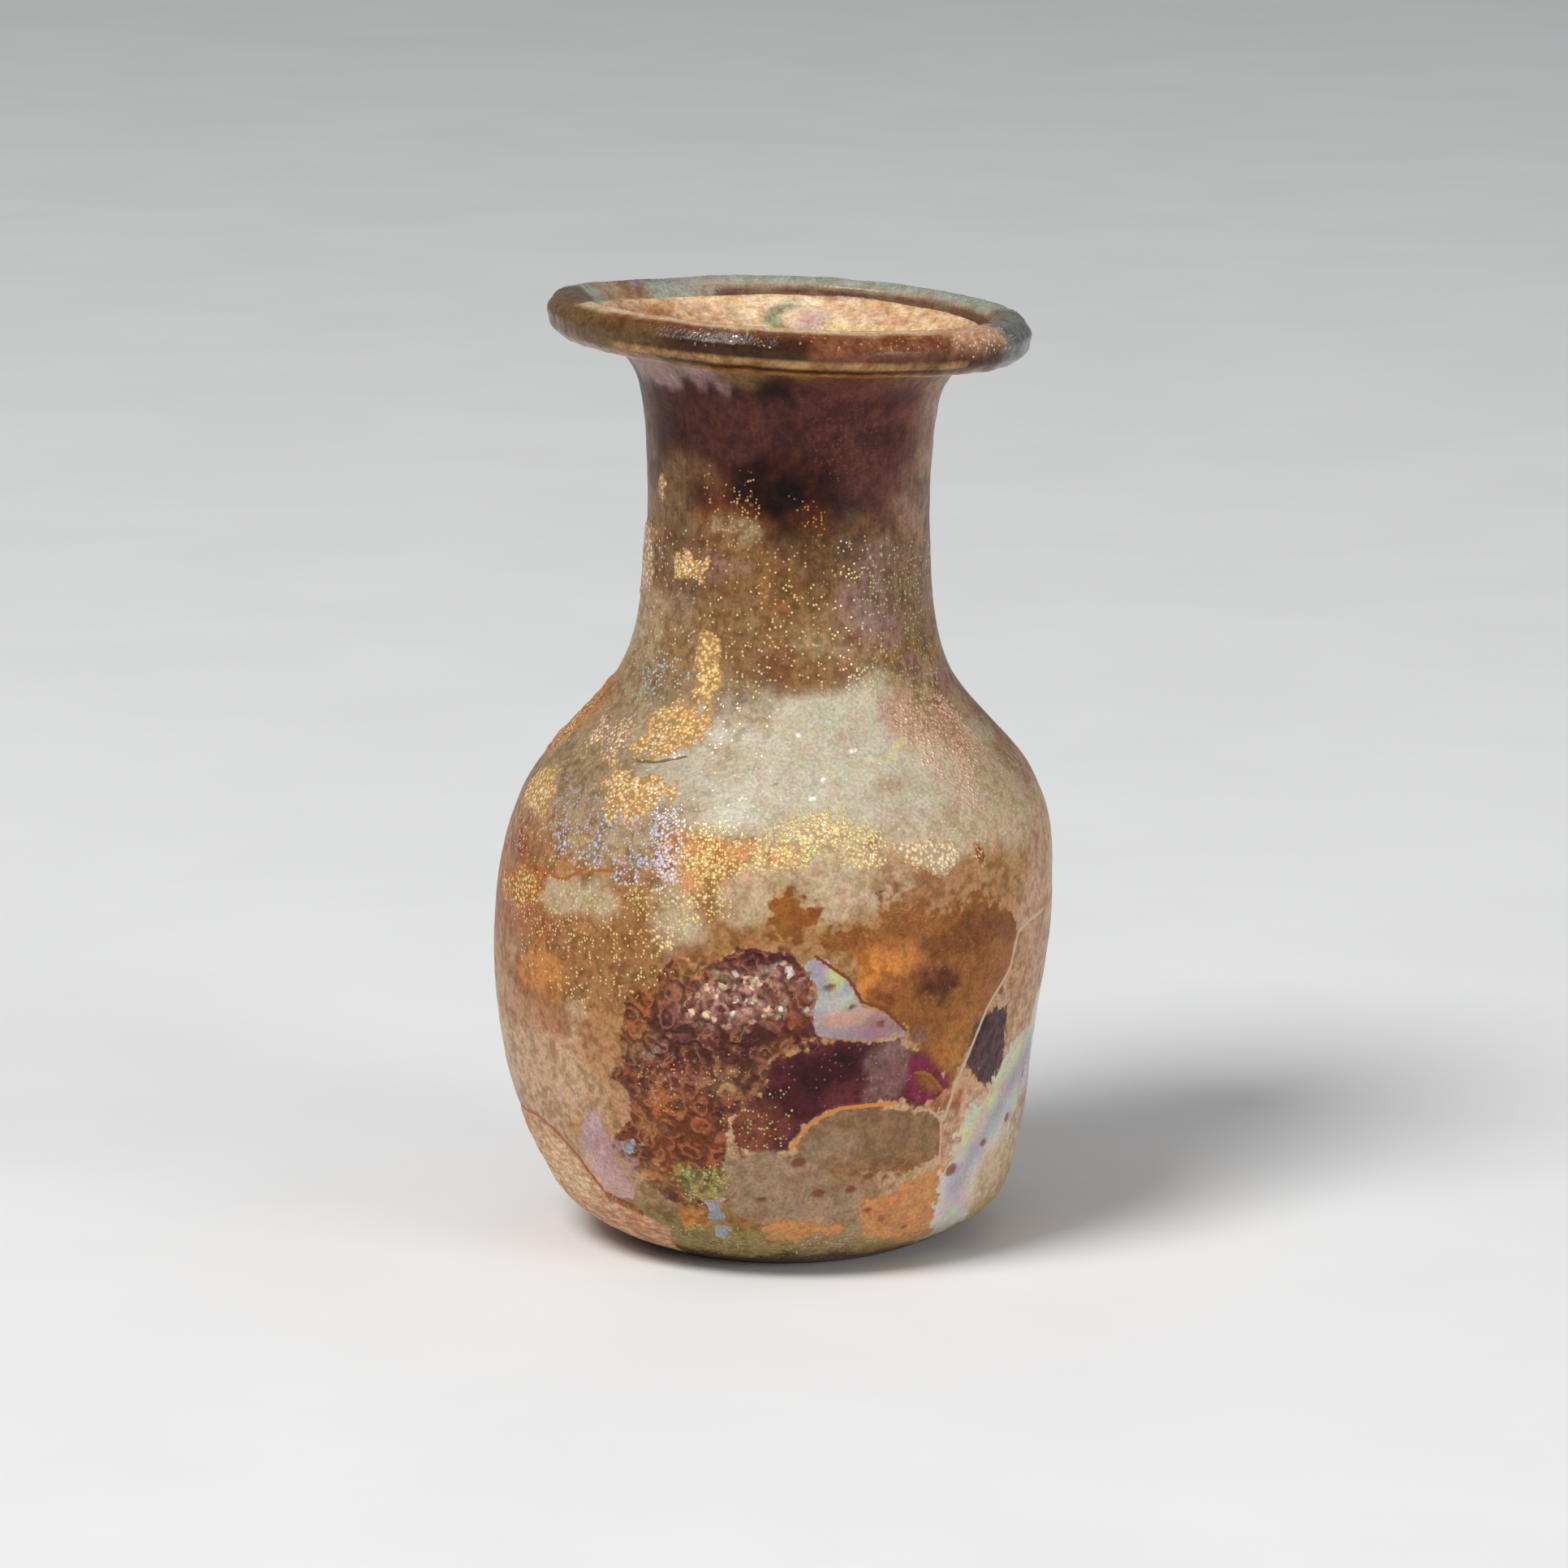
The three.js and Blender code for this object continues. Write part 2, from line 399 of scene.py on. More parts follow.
# The glass itself: broad soft stains, with a few washes of painted light noted among them
glass = Layer("olive_tan")
WASHES = [
    # azimuth, height, half width, half height, colour, share
    (0, 24, 60, 12, "tan", 1.0), (180, 30, 70, 12, "brown", 0.8), (180, 12, 70, 8, "beige", 0.7),
    (-62, 21, 13, 6, "beige", 0.9), (-80, 27, 10, 4, "tan", 0.6), (-45, 28, 12, 4.5, "brown", 0.9),
    (-66, 31.5, 8, 2.6, "rust", 0.75), (-54, 26.3, 3, 1.6, "orange", 0.6),
    (-64, 22.8, 7, 1.6, "rust", 0.45),
    (-24, 31, 6, 3, "brown", 0.8), (60, 31, 10, 4, "tan", 0.7), (72, 22, 8, 7, "pink_brown", 0.6),
    (-36, 19, 2.6, 8, "warm_tan", 0.8), (-58, 16, 9, 2.6, "beige", 0.8), (70, 8, 14, 7, "beige", 0.8),
    (180, 66, 40, 8, "plum_brown", 0.9), (-10, 67.5, 34, 6.5, "plum_brown", 1.0),
    (68, 66, 5, 8, "pink_brown", 0.45), (-64, 62.6, 7, 3.2, "olive_brown", 0.9),
    (-82, 66, 4, 6, "olive_brown", 0.7),
    (5, 68, 8.5, 4.8, "plum_black", 1.0), (8, 64.6, 7, 3.4, "plum_black", 0.9),
    (-5, 63.5, 3.4, 4.4, "plum_black", 0.9), (20, 60.6, 4.5, 2.2, "plum_black", 0.7),
    (30, 70, 9, 3, "wine_dark", 0.6), (-34, 69, 7, 3, "wine_dark", 0.7),
    (42, 66, 3, 4, "wine_dark", 0.7),
    (-29, 62.6, 2.0, 3.0, "deep_rust", 0.6), (12, 61.6, 2.6, 1.6, "deep_rust", 0.35),
    (-20, 60.2, 3, 1.6, "rust", 0.3),
    (-60, 73, 7, 1.3, "mauve", 0.7), (40, 73, 6, 1.2, "wine", 0.5), (0, 74.5, 60, 0.35, "rust", 0.8),
    (0, 52, 40, 4.0, "olive_tan", 1.0), (4, 57, 14, 3.4, "neck_brown", 0.8),
    # The mauve-grey wash at azimuth 54, height 57 is a painted highlight down the right side of the neck
    (54, 57, 5, 4.5, "mauve_grey", 0.6), (72, 54, 6, 7, "olive_brown", 0.6),
    (-16, 58, 4, 1.5, "brown", 0.4), (36, 53, 2.0, 2.2, "mauve_grey", 0.5),
    (-80, 51, 9, 4, "olive_grey", 0.8),
    (-5, 50.6, 1.6, 0.9, "magenta", 0.3), (-3, 48.6, 0.8, 1.4, "plum_brown", 0.6),
    (30, 49, 12, 1.8, "brown", 0.35),
    # The pale grey washes at heights 40 to 43 on the front shoulder: milky weathered glass, and partly a
    # painted reflection of the soft light above
    (8, 43, 15, 5, "pale_grey", 1.0), (-16, 41.6, 7, 4, "pale_grey", 0.8),
    (50, 44, 6, 5, "pink_brown", 0.9), (54, 40, 6, 3.4, "clear_beige", 0.8),
    (80, 43, 9, 8, "tan", 0.6), (33, 40.6, 6, 4, "pale_grey", 0.9), (80, 34, 8, 6, "pink_brown", 0.5),
    (-70, 47, 12, 3, "olive_grey", 0.8),
    (-76, 43, 9, 3, "olive_grey", 0.8), (-62, 40, 9, 3, "olive_grey", 0.6),
    (-50, 38, 12, 3, "olive_grey", 0.8), (-74, 37, 7, 1.6, "rust", 0.5),
    (10, 36.6, 12, 2.6, "clear_beige", 0.9), (58, 38, 9, 3, "clear_beige", 0.8),
    (-72, 34.8, 2.4, 1.0, "deep_rust", 0.6),
    (-44, 32.6, 4.4, 1.4, "clear_beige", 0.9), (-18.5, 32.2, 2.0, 2.8, "clear_beige", 1.0),
    (-5, 33.2, 2.6, 1.8, "clear_beige", 0.8), (15, 33, 3.2, 2.2, "clear_beige", 0.9),
    (-14, 36.8, 5, 2.0, "orange", 0.7), (-26, 36.6, 2.0, 2.2, "brown", 0.6),
    (70, 12, 5, 4, "pearl_white", 0.6), (66, 6, 8, 3, "clear_beige", 0.6),
    (52, 36, 6, 2, "clear_beige", 0.8),
    # foot_dark only darkens the bottom edge of the foot, where it turns under towards the floor
    (0, 3, 24, 2.6, "green_gold", 0.6), (0, 0.6, 80, 1.0, "foot_dark", 0.9),
    (14, 4.2, 4, 1.6, "panel_grey", 0.7),
    (46, 13, 5, 2.4, "pink_brown", 0.7), (-88, 45, 3, 4, "orange", 0.7), (-88, 32, 4, 3, "rust", 0.5),
]
for order, (az, level, wide, tall, name, share) in enumerate(WASHES):
    shape = blob(az, level, wide, tall)
    rough_edge = min(0.6 * tall, 2.0)
    glass.tone(ragged(shape, rough_edge, np.clip(1.3 * tall, 1.6, 5), 300 + order), name, share,
        0.7 * rough_edge)

# Small blotches scattered by chance, in the colours of each height
BLOTCHES = [
    # lowest and highest place, how many, half size, colours
    (60, 73, 26, 1.6, ["plum_black", "plum_brown", "plum_black", "wine_dark"]),
    (46, 61, 40, 1.2, ["olive_brown", "olive_grey", "brown", "olive_tan", "mauve_grey"]),
    (36, 47, 26, 1.0, ["clear_beige", "pale_grey", "olive_grey"]),
    (5, 35, 80, 1.2, ["rust", "warm_tan", "beige", "brown", "tan"]),
]
chance = np.random.default_rng(7)
for lowest, highest, count, size, names in BLOTCHES:
    for k in range(count):
        az, level = chance.uniform(-180, 180), chance.uniform(lowest, highest)
        wide, tall = size * chance.uniform(0.7, 2.4), size * chance.uniform(0.5, 1.3)
        shape = ragged(blob(az, level, wide, tall), 0.7 * tall, 1.6, 2000 + k)
        glass.tone(shape, names[k % len(names)], chance.uniform(0.3, 0.75), 0.4)

# Crisp stains and crust under the shine
stain = Layer("honey")
# The honey stain: the stain's amber colour, and partly the glow of light passing through the glass,
# painted into it
honey_field = region((0, 33.2), (9, 33), (10, 30.6), (20, 30.2), (22, 32.4), (30, 32), (34, 30.4),
    (47, 31), (59, 26.3), (57, 24), (50, 20), (42, 14.8), (33, 17.9), (28, 20.2), (21, 23.2), (18, 25),
    (15, 27.5), (10, 28.4), (8, 30), (0, 30.2))
stain.add(np.where(height > 29, 0.3, 1.0) * ragged(honey_field, 0.8, 2.5, 11), "honey")
spots(stain, [
    (36.5, 23.8, 1.7, 1.6, 1.3, 1.1, 12, "honey_dark", 0.9, 0.5),
    (24, 26.4, 5, 1.9, 1.5, 1.3, 14, "rust_red", 0.5, 0.6),
    (42, 27.2, 6, 1.6, 1.5, 1.3, 12, "honey_dark", 0.45, 0.7),
    (20, 26.2, 3.8, 2.0, 0.7, 2, 13, "orange", 0.95, 1.0),
])
stain.tone(blob(44, 17.5, 3, 3), "amber", 0.4, 2)
stain.tone(ragged(blob(24, 24.6, 1.4, 1.2), 0.4, 1, 14), "deep_rust", 0.5, 0.6)

wine_field = region((-24, 26), (-21, 28.4), (-12, 28.8), (-8, 29.8), (-3, 29.6), (4, 28.3), (7.6, 27),
    (9, 23), (8.5, 20.4), (1, 20), (-3, 17), (-9, 15), (-12, 12), (-11, 9.4), (-18, 6.6), (-27, 6.4),
    (-34, 8.4), (-38, 11.8), (-33, 15), (-35, 19), (-31, 22), (-29, 25))
wine_field = ragged(wine_field, 1.0, 3.0, 15)
stain.add(wine_field, "wine")
stain.tone(ragged(path(2.2, (-30, 23), (-25, 26.4), (-20, 28.4), (-12, 29)), 0.6, 1.5, 16), "rust",
    0.75, 0.6)
spots(stain, [
    (-25, 13, 6, 7, 0.9, 3, 16, "rust_red", 0.95, 1.5),
    (-7, 18.2, 3.0, 1.3, 0.6, 2, 17, "tan", 0.85, 0.8),
    (-4, 28.6, 5.0, 0.9, 0.5, 2, 18, "wine_dark", 0.95, 0.6),
    (-12, 21.6, 6.5, 1.7, 0.7, 2, 19, "wine_dark", 0.9, 1.0),
    (5, 24.5, 1.2, 3.0, 0.5, 2, 20, "deep_rust", 0.7, 0.6),
    (-17, 26.6, 2.4, 1.2, 0.5, 2, 20, "rust_red", 0.9, 0.6),
    (-5, 25.4, 4.6, 2.0, 0.8, 1.6, 20, "pearl_pink", 0.45, 0.9),
    (-24, 12, 5, 5.5, 1.2, 2, 16, "rust", 0.5, 1.0),
])
CRUST_COLOURS = ["wine_dark", "rust_red", "deep_rust", "warm_tan", "wine", "brown"]
for k in range(30):
    shape = ragged(blob(chance.uniform(-36, 8), chance.uniform(7, 29), 1.3, 0.9), 0.7, 1.2, 2200 + k)
    stain.tone(np.minimum(shape, wine_field), CRUST_COLOURS[k % len(CRUST_COLOURS)],
        chance.uniform(0.4, 0.9), 0.3)
stain.tone(ragged(blob(-31, 9, 2.4, 1.6), 0.5, 2, 21), "orange_gold", 0.45, 0.8)

purple_field = region((0, 20), (8, 20.4), (14, 20.8), (20, 20.2), (27, 20.1), (33, 18.3), (41, 15.6),
    (40.5, 14.9), (33, 13.9), (29, 14.9), (17, 15.2), (10, 14.8), (4, 13.3), (1, 11.4), (-8, 12),
    (-9.5, 14.8), (-2, 17))
purple_field = ragged(purple_field, 0.3, 2, 22)
stain.add(purple_field, "purple", 0.5)
spots(stain, [
    (13, 18.4, 4.4, 1.5, 0.5, 2, 23, "purple_black", 0.95, 0.7),
    (4, 16.4, 3, 1.8, 0.5, 2, 23, "purple_black", 0.7, 0.7),
])
mauve_panel = region((18.5, 19), (22, 20), (27, 19.9), (29.8, 18.6), (29, 16.4), (27, 15.2), (19, 15.4),
    (20.5, 17.4))
stain.tone(ragged(mauve_panel, 0.3, 2, 24), "mauve_grey", 0.5, 0.4)
stain.tone(ragged(blob(28, 19.6, 2.2, 0.8), 0.4, 1.5, 24), "mauve_grey", 0.6, 0.4)
magenta_wedge = region((29.6, 18.2), (33, 18.3), (41, 15.6), (40, 14.9), (36, 14.6), (33, 13.9),
    (31, 14.8), (29.4, 16.2))
stain.tone(ragged(magenta_wedge, 0.15, 2, 25), "magenta", 0.95, 0.2)
stain.tone(ragged(blob(-5, 14.2, 2.4, 1.8), 0.6, 1.5, 26), "rust_red", 0.7, 0.7)
leaf_in_purple = region((31.5, 16.9), (35, 16.5), (39, 15), (37, 14.9), (33, 15.6))
stain.tone(leaf_in_purple, "honey", 0.9, 0.15)

plum_stripe = region((50, 20), (57, 20.3), (60, 18), (59, 14.6), (52, 14), (46.5, 16))
stain.add(0.6 * ragged(plum_stripe, 0.7, 1.5, 27), "plum_dust", 0.5)
panel_brown = region((4, 12.3), (8, 14), (14, 15), (22, 14.8), (30, 14), (36, 13.5), (39.5, 12.5),
    (40, 9.6), (30, 8.8), (22, 9.3), (14, 9.5), (5, 9.8))
stain.add(ragged(panel_brown, 0.15, 2, 28), "panel", 0.5)
stain.tone(ragged(blob(12, 11.8, 2.2, 1.3), 0.6, 1.5, 29), "panel_grey", 0.7, 0.7)
panel_pale = region((-11, 11), (-3, 11.8), (4, 11.2), (14, 9.5), (20, 9.2), (20, 6), (8, 5.6), (-4, 5),
    (-12, 6.2))
stain.add(ragged(panel_pale, 0.3, 2, 30), "panel_grey", 0.5)
stain.tone(ragged(blob(26, 9.2, 5, 1.0), 0.5, 2, 31), "brown", 0.85, 0.8)
peach_corner = region((21, 6.8), (30, 7.8), (40, 8.7), (42, 7), (47, 4.4), (44, 2.2), (28, 2.4),
    (21, 4))
stain.add(0.6 * ragged(peach_corner, 0.6, 2.5, 32), "peach_orange", 0.6)
stain.add(ragged(blob(5.5, 4.6, 2.4, 1.0), 0.4, 2, 33), "peach_orange", 0.6)
stain.add(ragged(region((-26, 6.2), (-18, 6.3), (-17, 4.8), (-25, 4.4)), 0.3, 2, 34), "amber", 0.4)
green_crumbs = ragged(region((-22, 10.4), (-12, 10.6), (-12, 8.4), (-15, 7.2), (-21, 7.6)), 0.5, 1.2,
    35)
stain.add(green_crumbs, "green_gold", 0.4)
mauve_patch = region((-49, 13.8), (-42, 14.4), (-37.5, 13), (-37, 6.8), (-44, 6.3), (-50, 7.5),
    (-54, 9.5), (-50, 11))
stain.add(0.4 * ragged(mauve_patch, 1.0, 1.6, 36), "mauve", 0.5)
cream_foot = region((-112, 8), (-90, 11.2), (-80, 12.4), (-66, 12.9), (-58, 12), (-51, 9.5), (-46, 6),
    (-38, 5.2), (-30, 4.2), (-36, 0.9), (-112, 0.9))
cream_foot = ragged(cream_foot, 0.5, 2.5, 37)
stain.add(cream_foot, "peach", 0.6)
stain.tone(ragged(blob(-66, 7.6, 8, 3), 1.2, 2, 38), "cream", 0.6, 1.2)

# Iridescent pearl skins, with painted highlights on pin bubbles and, low on the right, a partly painted
# reflection
pearl_and_highlights = Layer("pearl_white")
heart = region((6.4, 27.8), (9.5, 28.4), (12, 26.8), (15, 26), (18, 23.6), (22, 22.8), (26, 21.5),
    (29, 20.3), (22, 20.3), (14, 20.8), (9, 21.8), (7.8, 23.5), (9, 25))
pearl_and_highlights.add(ragged(heart, 0.25, 1.2, 41), "lavender", 0.5)
pearl_and_highlights.tone(blob(12.8, 26.3, 0.8, 1.2), "pearl_green", 0.95, 0.4)
spots(pearl_and_highlights, [
    (14.5, 24.0, 2.0, 0.8, 0.3, 1, 41, "pearl_white", 0.9, 0.5),
    (16, 22.4, 2.4, 0.8, 0.4, 1, 41, "pearl_pink", 0.9, 0.6),
    (23, 21.4, 3.6, 1.0, 0.4, 1, 41, "mauve_grey", 0.95, 0.8),
])
# The pearl band low on the right: an iridescent skin, and partly a painted reflection of a pale surface to
# the right
rainbow = path(5.6, (80, 15.5), (70, 14.2), (62, 12.4), (53, 9.8), (48, 7), (50, 4.4))
pearl_and_highlights.add(0.4 * ragged(rainbow, 1.0, 1.6, 42), "pearl_white", 0.8)
pearl_and_highlights.tone(path(1.6, (80, 17.4), (66, 15.4), (56, 12.8), (47, 10.4), (42, 9.4)), "pearl_green", 0.7,
    1.0)
pearl_and_highlights.tone(path(1.8, (78, 15.2), (66, 13.4), (56, 10.8), (49, 7.6), (48, 6)), "lavender", 0.9, 1.2)
pearl_and_highlights.tone(path(1.6, (70, 9.4), (60, 8), (55, 5)), "beige", 0.7, 0.9)
pearl_and_highlights.add(ragged(path(0.3, (23.5, 43.3), (26, 42.7), (31, 42.9), (34, 43.8), (38, 44)), 0.2, 1, 43),
    "pearl_green", 0.3)
pearl_and_highlights.add(ragged(region((-17.5, 7.3), (-14, 7.6), (-13.4, 5.6), (-17, 5.3)), 0.3, 1, 44), "lavender",
    0.3)
pearl_and_highlights.add(ragged(region((-17, 5.1), (-12.5, 4.8), (-14, 3.6), (-17, 3.8)), 0.3, 1, 45), "lavender", 0.3)
pearl_and_highlights.add(ragged(blob(-34, 12.2, 0.9, 0.4), 0.3, 1, 46), "lavender", 0.3)
# White dots painted as highlights on pin bubbles
PIN_BUBBLE_HIGHLIGHTS = [(-8.8, 40.7, 0.3), (8, 40.6, 0.32), (5, 45, 0.2), (11, 41.9, 0.24), (16, 40.9, 0.16),
    (20, 43.7, 0.16)]
for az, level, size in PIN_BUBBLE_HIGHLIGHTS:
    pearl_and_highlights.add(blob(az, level, size * 1.1, size * 0.7), "white", 0.2)

# Raised granular flakes of the gold skin: their corners and colours
FLAKES = [
    ([(-36, 50.8), (-32, 52.2), (-27, 51), (-24.5, 49), (-25, 46.5), (-30, 46.6), (-33, 48)],
      "orange_gold"),
    ([(-44, 46), (-38, 46.6), (-30, 47), (-24, 46.5), (-22.5, 45), (-27, 43.6), (-35, 43), (-42, 42.8),
      (-46, 43.4)], "orange_gold"),
    ([(-60, 45.2), (-52, 45.5), (-48.5, 43.8), (-50, 42.2), (-57, 42.8), (-60, 44)], "peach"),
    ([(-68, 44.7), (-61, 44.6), (-61.5, 42.4), (-68, 42.3)], "peach"),
    ([(-49, 41.4), (-42, 41.8), (-34, 41.8), (-27, 41.2), (-26, 40.4), (-30, 39.8), (-33, 38.6),
      (-38, 38), (-45, 39)], "orange_gold"),
    ([(0, 37.6), (6, 38.6), (10, 39.4), (16, 38.2), (13, 37.5), (5, 37.3)], "cream"),
    ([(25, 36.8), (31, 36.6), (38, 36), (43, 35.4), (40, 34.2), (37, 33.4), (33, 34.4), (28, 35.5)],
      "cream"),
    ([(44, 35), (47, 35.2), (49, 34.2), (47, 33.8)], "rust"),
    ([(-80, 40), (-73, 40.6), (-64, 39.4), (-63, 37.4), (-68, 37), (-74, 37.6), (-81, 37.6)],
      "orange_gold"),
    ([(-73, 36), (-67, 35.8), (-66, 33.8), (-71, 34.4)], "rust"),
    ([(-76, 32.6), (-66, 33.8), (-58, 33), (-57, 31.2), (-68, 30.6), (-77, 31)], "orange"),
    ([(-100, 46.5), (-88, 46.6), (-83, 44), (-84, 41), (-100, 40.6)], "orange"),
    ([(-92, 59), (-74, 59.6), (-69, 57.6), (-68, 55), (-76, 54), (-92, 53.4)], "peach"),
    ([(-54, 57.4), (-46, 58), (-36, 57.8), (-39, 56.4), (-50, 55.8)], "orange_gold"),
    ([(-66, 63.6), (-62, 63.8), (-62, 62), (-66, 62)], "peach"),
    ([(-4, 41.7), (-1, 41.7), (-0.6, 41), (-3.6, 40.9)], "orange"),
]
flake = Layer("orange_gold")
for corners, name in FLAKES:
    flake.add(region(*corners), name, 0.5)
flake.inside = 0.6 * ragged(flake.inside, 0.6, 1.4, 51)

# Grains with painted glints: bright specks painted into the colour as highlights on the glass's iridescent
# grains; where they lie, their colour and how thickly
GRAIN_GLINTS = [
    ([(-90, 60), (90, 60), (90, 36), (-90, 34)], "white", 0.06),
    ([(-30, 58), (30, 58), (40, 46), (-30, 46)], "spark_gold", 0.12),
    ([(-22, 38.8), (-14, 39), (-8, 37.8), (-2, 37.5), (4, 38.9), (12, 39.4), (20, 38), (26, 36.8),
      (22, 36), (10, 36.4), (0, 35.4), (-9, 35.2), (-14, 34.4), (-20, 34.6), (-23, 35)], "spark_gold",
      0.95),
    ([(-37, 35), (-27, 34.8), (-10, 34.6), (-8, 32), (-16, 31), (-26, 29), (-34, 31)], "spark_gold",
      0.45),
    ([(-29, 38.7), (-24, 39), (-22.5, 37), (-22, 34.8), (-27, 34.4), (-30, 36)], "silver", 1.2),
    ([(-62, 40.4), (-46, 39.5), (-33, 38.2), (-29, 36), (-40, 34.8), (-55, 35), (-62, 37)], "sky",
      0.36),
    ([(-60, 48.8), (-45, 50), (-36, 49.7), (-38, 47), (-48, 45.6), (-58, 46.2)], "cyan", 0.32),
    ([(36, 48), (52, 48), (68, 45.5), (66, 42), (56, 40.5), (52, 38), (45, 39), (38, 41.5)],
      "copper_pink", 0.95),
    ([(20, 50), (70, 50), (66, 47), (30, 46.6)], "copper_pink", 0.35),
    ([(33, 59), (48, 60), (62, 57), (66, 49), (52, 47.5), (38, 49), (31, 54)], "leaf_green", 0.2),
    ([(8, 47.6), (17, 47.6), (16, 45), (10, 45)], "leaf_green", 0.5),
    ([(-70, 33), (-40, 34), (-26, 31), (-22, 27), (-40, 24), (-62, 26)], "spark_gold", 0.22),
    ([(-38, 65.4), (-16, 65), (-14, 60), (-34, 59)], "orange_gold", 0.22),
    ([(10, 70), (34, 70), (36, 65), (12, 65)], "deep_rust", 0.2),
    ([(2, 63.6), (16, 63), (15, 59.6), (3, 59.8)], "orange", 0.2),
    ([(0, 20), (30, 20), (40, 15), (10, 13.5), (-2, 13)], "white", 0.035),
    ([(8, 32), (46, 31), (56, 25), (40, 16), (20, 24)], "amber", 0.05),
    ([(-10, 17), (2, 17), (4, 13), (-9, 12)], "leaf_green", 0.2),
    ([(-22, 10.4), (-12, 10.6), (-12, 7.8), (-21, 7.6)], "pearl_green", 0.55),
    ([(-30, 20), (-6, 20), (-8, 17), (-28, 16)], "orange_gold", 0.22),
    ([(-30, 4), (40, 4), (40, 1.4), (-30, 1.4)], "leaf_green", 0.18),
]
glints = Layer("spark_gold")
glint_density = np.zeros(len(place))
for order, (corners, name, share) in enumerate(GRAIN_GLINTS):
    shape = ragged(region(*corners), 0.9, 3, 600 + order)
    thick = share * smoothstep(-0.8, 0.4, shape)
    glints.paint(name, smoothstep(-1.6, -0.8, shape))
    glint_density = np.where(shape > -0.2, np.maximum(thick, 0.6 * glint_density), np.maximum(thick, glint_density))
in_flake = smoothstep(-0.1, 0.3, flake.inside)
glints.paint("spark_gold", 0.7 * in_flake)
glint_density = np.maximum(glint_density, 0.5 * in_flake)

# Thin lines: cracks, the bright edges of the glass skins, and a painted shadow line under a gold flake
LINES = [
    (0.30, "clear_beige", [(74, 26.8), (66, 26.7), (60, 26.2), (58, 23.2), (51, 20.6), (47, 17.5),
      (43, 14.8), (40.5, 12.6)]),
    (0.30, "orange", [(3.5, 12.2), (6, 13.5), (9, 14.4), (14, 15.1), (20, 15), (27, 14.8)]),
    (0.18, "pink_brown", [(36, 13.6), (39.5, 12.6), (40.4, 9)]),
    (0.30, "rust", [(-90, 11.3), (-80, 12.5), (-66, 13), (-58, 12.1), (-51, 9.6), (-46, 6.2),
      (-38, 5.4)]),
    (0.22, "honey", [(31.3, 17), (35, 16.6), (39.2, 15)]),
    (0.26, "deep_rust", [(-45, 6.6), (-40, 6.1), (-36, 5.2)]),
    (0.2, "deep_rust", [(8.2, 28.3), (12.4, 26.9), (15.5, 25.9), (18.3, 23.8), (23, 22.9),
      (28.6, 20.6)]),
    (0.22, "rust", [(-60, 34), (-50, 33.6), (-44, 34.7), (-34, 34.9)]),
    # A painted shadow line under the gold flake above it
    (0.16, "olive_brown", [(-42, 42.5), (-36, 42.6), (-27, 43.3)]),
]
line = Layer("rust")
line_offset = np.full(len(place), -FAR)
line_share = np.zeros(len(place))
for width, name, points in LINES:
    offset, beside = stroke(width, *points)
    closer = np.abs(offset) < np.abs(line_offset)
    line_offset = np.where(closer, offset, line_offset)
    line_share = np.where(beside, 1.0, line_share)
    line.paint(name, closer.astype(float))

# Small dark pits
PITS = [
    (11.6, 25.4, 0.4), (16.3, 23.5, 0.28), (22.6, 21.6, 0.36), (45, 8.1, 0.5), (56, 9.5, 0.32),
    (67, 10.6, 0.45),
    (76, 13.2, 0.4), (4.6, 10.7, 0.5), (-4, 7.5, 0.24), (21.3, 9, 0.4), (9.2, 7.8, 0.45),
    (17, 7.9, 0.34),
    (21.6, 5.9, 0.3), (25.5, 4.9, 0.3), (33.4, 3.8, 0.26), (27, 52, 0.36), (-25, 55.4, 0.26),
    (25.5, 8.7, 0.3),
]
pit = np.full(len(place), FAR)
for az, level, size in PITS:
    pit = np.maximum(pit, blob(az, level, size * 1.5, size))
pit = ragged(pit, 0.12, 0.8, 72)

# The unseen back: the same kinds of weathering and painted glints, scattered by chance and plainer
outer = section == OUTSIDE
behind = np.where(outer, smoothstep(98, 125, np.abs(turned_by(0))), 0)
on_body = behind * smoothstep(3, 8, height) * (1 - smoothstep(44, 52, height))
back_clouds = noise(13, 75)
back_stain = np.where(on_body > 0.05, 5 * (back_clouds - 0.35) - 6 * (1 - on_body), FAR)
stain.add(back_stain, "honey", 0.6)
stain.tone(np.where(behind > 0.05, 4 * (noise(10, 76) - 0.2), FAR), "rust_red", 0.7, 1.0)
back_flake = np.where(on_body > 0.05, 4 * (noise(6, 77) - 0.62) - 6 * (1 - on_body), FAR)
flake.inside = np.maximum(flake.inside, back_flake)
glint_density = np.maximum(glint_density, behind * 0.45 * smoothstep(0.0, 0.6, noise(8, 78)) * smoothstep(8, 14,
    height))
back_pearl = np.where(on_body > 0.05, 1.2 * (noise(7, 79) - 0.8) - 6 * (1 - on_body), FAR)
pearl_and_highlights.inside = np.maximum(pearl_and_highlights.inside, back_pearl)

# The lip and the mouth
around_roll = np.degrees(np.arctan2(height - (MOUTH_HEIGHT - LIP_ROLL),
    radius - (LIP_RADIUS - LIP_ROLL)))


def lip_arc(middle, half_wide, low=-120.0, high=200.0):
    """A stretch of the lip around this azimuth, between two turns of its roll, as a distance inside."""
    across = np.radians(half_wide - np.abs(turned_by(middle))) * radius
    up = np.radians(np.minimum(around_roll - low, high - around_roll)) * LIP_ROLL
    return np.where(section == LIP, np.minimum(across, up), FAR)


